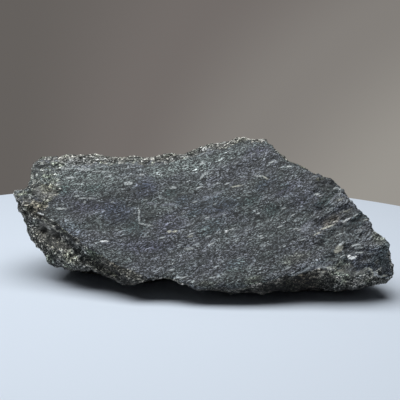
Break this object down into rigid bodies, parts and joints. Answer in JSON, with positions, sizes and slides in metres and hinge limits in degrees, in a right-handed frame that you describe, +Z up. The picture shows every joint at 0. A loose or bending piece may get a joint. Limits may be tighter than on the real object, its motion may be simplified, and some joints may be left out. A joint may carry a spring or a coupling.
{
  "type": "nuummite stone",
  "caption": "Broken hand specimen of dark streaked nuummite rock that lies on its underside, with a sloping front face, a narrow rough top and crusted sides.",
  "frame": {"origin": "middle of the stone's box in plan, on the plane that it rests on", "axes": "+X along the stone's length towards the pointed lower end, +Y from the sloping front face to the back, +Z up"},
  "size_m": [0.129, 0.0598, 0.0482],
  "materials": {
    "stone": "rough broken rock, fine grained and dull, with small silvery grains"
  },
  "bodies": {
    "root": {"stone": "stone"}
  },
  "joints": []
}
